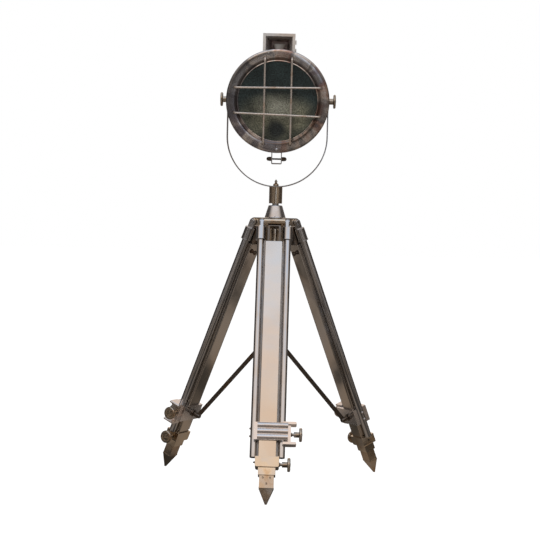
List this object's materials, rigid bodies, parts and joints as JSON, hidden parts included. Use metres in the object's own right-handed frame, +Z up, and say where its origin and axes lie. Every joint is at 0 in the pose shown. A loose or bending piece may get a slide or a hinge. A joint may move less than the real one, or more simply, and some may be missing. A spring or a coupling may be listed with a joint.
{
  "type": "tripod spotlight floor lamp",
  "caption": "Floor lamp with a round spotlight head in a U-shaped yoke, on a folding tripod of twin-rod legs with sliding box panels and spiked feet.",
  "frame": {"origin": "on the floor, at the middle of the lamp's footprint box", "axes": "+Z up, the light shines towards -Y and slightly down, +X to the right seen from the front"},
  "size_m": [0.7562, 0.6994, 1.4875],
  "materials": {
    "nickel": "polished",
    "smoked_nickel": "polished",
    "dark_nickel": "polished",
    "cast_alloy": "polished",
    "panel_alloy": "polished",
    "reflector": "satin",
    "front_glass": "gloss",
    "bulb_glass": "gloss",
    "gasket": "matte",
    "ceramic": "gloss"
  },
  "bodies": {
    "tripod_head": {"hub_casting": "cast_alloy", "hinge_pins": "nickel", "hub_cone": "cast_alloy", "spigot": "nickel"},
    "strut_hub": {"strut_hub": "dark_nickel"},
    "yoke": {"swivel_cap": "cast_alloy", "yoke": "nickel", "finial": "dark_nickel"},
    "head": {"drum": "smoked_nickel", "rear_cover": "smoked_nickel", "cable_gland": "dark_nickel", "vent_hood": "smoked_nickel", "vent_cap": "cast_alloy", "bezel": "smoked_nickel", "bezel_screws": "nickel", "lens": "front_glass", "lens_gasket": "gasket", "guard": "nickel", "reflector": "reflector", "lamp_holder": "ceramic", "bulb": "bulb_glass", "shackle": "nickel", "shackle_bolt": "dark_nickel", "tilt_studs": "nickel"},
    "tilt_knob_left": {"tilt_knob_left": "smoked_nickel"},
    "tilt_knob_right": {"tilt_knob_right": "smoked_nickel"},
    "leg_1": {"leg_1_rods": "nickel", "leg_1_top_lugs": "nickel", "leg_1_clamp": "cast_alloy", "leg_1_strut_post": "dark_nickel"},
    "leg_1_panel": {"leg_1_panel": "panel_alloy", "leg_1_panel_fittings": "nickel", "leg_1_shoe": "cast_alloy"},
    "leg_1_foot": {"leg_1_foot": "cast_alloy"},
    "leg_1_clamp_knob": {"leg_1_clamp_knob": "nickel"},
    "leg_1_foot_knob": {"leg_1_foot_knob": "nickel"},
    "leg_1_strut": {"leg_1_strut": "dark_nickel"},
    "leg_2": {"leg_2_rods": "nickel", "leg_2_top_lugs": "nickel", "leg_2_clamp": "cast_alloy", "leg_2_strut_post": "dark_nickel"},
    "leg_2_panel": {"leg_2_panel": "panel_alloy", "leg_2_panel_fittings": "nickel", "leg_2_shoe": "cast_alloy"},
    "leg_2_foot": {"leg_2_foot": "cast_alloy"},
    "leg_2_clamp_knob": {"leg_2_clamp_knob": "nickel"},
    "leg_2_foot_knob": {"leg_2_foot_knob": "nickel"},
    "leg_2_strut": {"leg_2_strut": "dark_nickel"},
    "leg_3": {"leg_3_rods": "nickel", "leg_3_top_lugs": "nickel", "leg_3_clamp": "cast_alloy", "leg_3_strut_post": "dark_nickel"},
    "leg_3_panel": {"leg_3_panel": "panel_alloy", "leg_3_panel_fittings": "nickel", "leg_3_shoe": "cast_alloy"},
    "leg_3_foot": {"leg_3_foot": "cast_alloy"},
    "leg_3_clamp_knob": {"leg_3_clamp_knob": "nickel"},
    "leg_3_foot_knob": {"leg_3_foot_knob": "nickel"},
    "leg_3_strut": {"leg_3_strut": "dark_nickel"}
  },
  "joints": [
    {"name": "head_pan", "type": "hinge", "parent": "tripod_head", "child": "yoke", "pos_m": [0, 0.07638, 0.932], "axis": [0, 0, 1], "range_deg": [-170, 170]},
    {"name": "head_tilt", "type": "hinge", "parent": "yoke", "child": "head", "pos_m": [0, 0.07638, 1.276], "axis": [1, 0, 0], "range_deg": [-80, 35]},
    {"name": "tilt_knob_left_turn", "type": "hinge", "parent": "head", "child": "tilt_knob_left", "pos_m": [-0.169, 0.07638, 1.276], "axis": [-1, 0, 0], "range_deg": [0, 540]},
    {"name": "tilt_knob_right_turn", "type": "hinge", "parent": "head", "child": "tilt_knob_right", "pos_m": [0.169, 0.07638, 1.276], "axis": [1, 0, 0], "range_deg": [0, 540]},
    {"name": "strut_hub_slide", "type": "slide", "parent": "tripod_head", "child": "strut_hub", "axis": [0, 0, 1], "range_m": [0, 0.0625]},
    {"name": "leg_1_fold", "type": "hinge", "parent": "tripod_head", "child": "leg_1", "pos_m": [0, 0.01538, 0.871], "axis": [1, 0, 0], "range_deg": [0, 16]},
    {"name": "leg_1_panel_slide", "type": "slide", "parent": "leg_1", "child": "leg_1_panel", "axis": [0, -0.3856, -0.9227], "range_m": [0, 0.56]},
    {"name": "leg_1_foot_slide", "type": "slide", "parent": "leg_1_panel", "child": "leg_1_foot", "axis": [0, -0.3856, -0.9227], "range_m": [0, 0.3]},
    {"name": "leg_1_clamp_knob_turn", "type": "hinge", "parent": "leg_1", "child": "leg_1_clamp_knob", "pos_m": [0.072, -0.26269, 0.20562], "axis": [1, 0, 0], "range_deg": [0, 540]},
    {"name": "leg_1_foot_knob_turn", "type": "hinge", "parent": "leg_1_panel", "child": "leg_1_foot_knob", "pos_m": [0.0375, -0.2999, 0.11657], "axis": [1, 0, 0], "range_deg": [0, 540]},
    {"name": "leg_1_strut_turn", "type": "hinge", "parent": "leg_1", "child": "leg_1_strut", "pos_m": [0, -0.21492, 0.19026], "axis": [1, 0, 0], "range_deg": [0, 17.87]},
    {"name": "leg_2_fold", "type": "hinge", "parent": "tripod_head", "child": "leg_2", "pos_m": [-0.05283, 0.10688, 0.871], "axis": [-0.5, -0.866, 0], "range_deg": [0, 16]},
    {"name": "leg_2_panel_slide", "type": "slide", "parent": "leg_2", "child": "leg_2_panel", "axis": [-0.3339, 0.1928, -0.9227], "range_m": [0, 0.56]},
    {"name": "leg_2_foot_slide", "type": "slide", "parent": "leg_2_panel", "child": "leg_2_foot", "axis": [-0.3339, 0.1928, -0.9227], "range_m": [0, 0.3]},
    {"name": "leg_2_clamp_knob_turn", "type": "hinge", "parent": "leg_2", "child": "leg_2_clamp_knob", "pos_m": [-0.32964, 0.18357, 0.20562], "axis": [-0.5, -0.866, 0], "range_deg": [0, 540]},
    {"name": "leg_2_foot_knob_turn", "type": "hinge", "parent": "leg_2_panel", "child": "leg_2_foot_knob", "pos_m": [-0.34462, 0.23205, 0.11657], "axis": [-0.5, -0.866, 0], "range_deg": [0, 540]},
    {"name": "leg_2_strut_turn", "type": "hinge", "parent": "leg_2", "child": "leg_2_strut", "pos_m": [-0.25227, 0.22203, 0.19026], "axis": [-0.5, -0.866, 0], "range_deg": [0, 17.87]},
    {"name": "leg_3_fold", "type": "hinge", "parent": "tripod_head", "child": "leg_3", "pos_m": [0.05283, 0.10688, 0.871], "axis": [-0.5, 0.866, 0], "range_deg": [0, 16]},
    {"name": "leg_3_panel_slide", "type": "slide", "parent": "leg_3", "child": "leg_3_panel", "axis": [0.3339, 0.1928, -0.9227], "range_m": [0, 0.56]},
    {"name": "leg_3_foot_slide", "type": "slide", "parent": "leg_3_panel", "child": "leg_3_foot", "axis": [0.3339, 0.1928, -0.9227], "range_m": [0, 0.3]},
    {"name": "leg_3_clamp_knob_turn", "type": "hinge", "parent": "leg_3", "child": "leg_3_clamp_knob", "pos_m": [0.25764, 0.30827, 0.20562], "axis": [-0.5, 0.866, 0], "range_deg": [0, 540]},
    {"name": "leg_3_foot_knob_turn", "type": "hinge", "parent": "leg_3_panel", "child": "leg_3_foot_knob", "pos_m": [0.30712, 0.297, 0.11657], "axis": [-0.5, 0.866, 0], "range_deg": [0, 540]},
    {"name": "leg_3_strut_turn", "type": "hinge", "parent": "leg_3", "child": "leg_3_strut", "pos_m": [0.25227, 0.22203, 0.19026], "axis": [-0.5, 0.866, 0], "range_deg": [0, 17.87]}
  ],
  "couplings": [
    {"joint": "leg_1_strut_turn", "follows": "leg_1_fold", "ratio": 1.1136},
    {"joint": "leg_2_fold", "follows": "leg_1_fold", "ratio": 1},
    {"joint": "leg_2_strut_turn", "follows": "leg_1_fold", "ratio": 1.1136},
    {"joint": "leg_3_fold", "follows": "leg_1_fold", "ratio": 1},
    {"joint": "leg_3_strut_turn", "follows": "leg_1_fold", "ratio": 1.1136},
    {"joint": "strut_hub_slide", "follows": "leg_1_fold", "m_per_rad": 0.222}
  ]
}
